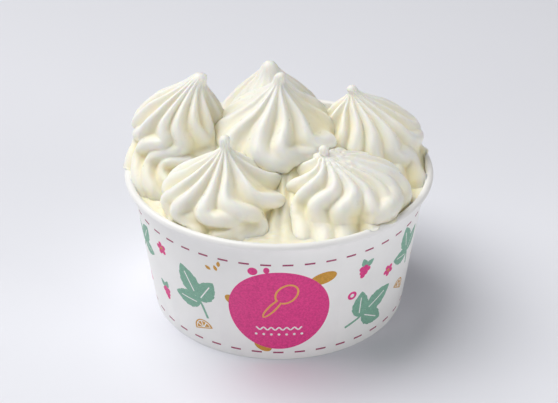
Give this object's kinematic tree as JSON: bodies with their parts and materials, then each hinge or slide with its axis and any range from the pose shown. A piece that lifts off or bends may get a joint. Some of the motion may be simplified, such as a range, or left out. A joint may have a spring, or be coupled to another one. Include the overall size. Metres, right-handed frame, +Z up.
{
  "type": "frozen yogurt cup",
  "caption": "Round tapered paper bowl with a rolled rim, filled with plain frozen yogurt and topped with piped swirls.",
  "frame": {"origin": "centre of the cup's foot, on the surface it stands on", "axes": "+Z up along the cup's axis, front of the cup towards -Y, +X to the right seen from the front"},
  "size_m": [0.1418, 0.1418, 0.1125],
  "materials": {
    "cup_wall": "satin",
    "cup_base": "satin",
    "yogurt_bed": "satin",
    "swirl_centre": "satin",
    "swirl_back": "satin",
    "swirl_left": "satin",
    "swirl_right": "satin",
    "swirl_front_left": "satin",
    "swirl_front_right": "satin"
  },
  "bodies": {
    "root": {"cup_wall": "cup_wall", "cup_base": "cup_base", "yogurt_bed": "yogurt_bed", "swirl_centre": "swirl_centre", "swirl_back": "swirl_back", "swirl_left": "swirl_left", "swirl_right": "swirl_right", "swirl_front_left": "swirl_front_left", "swirl_front_right": "swirl_front_right"}
  },
  "joints": []
}
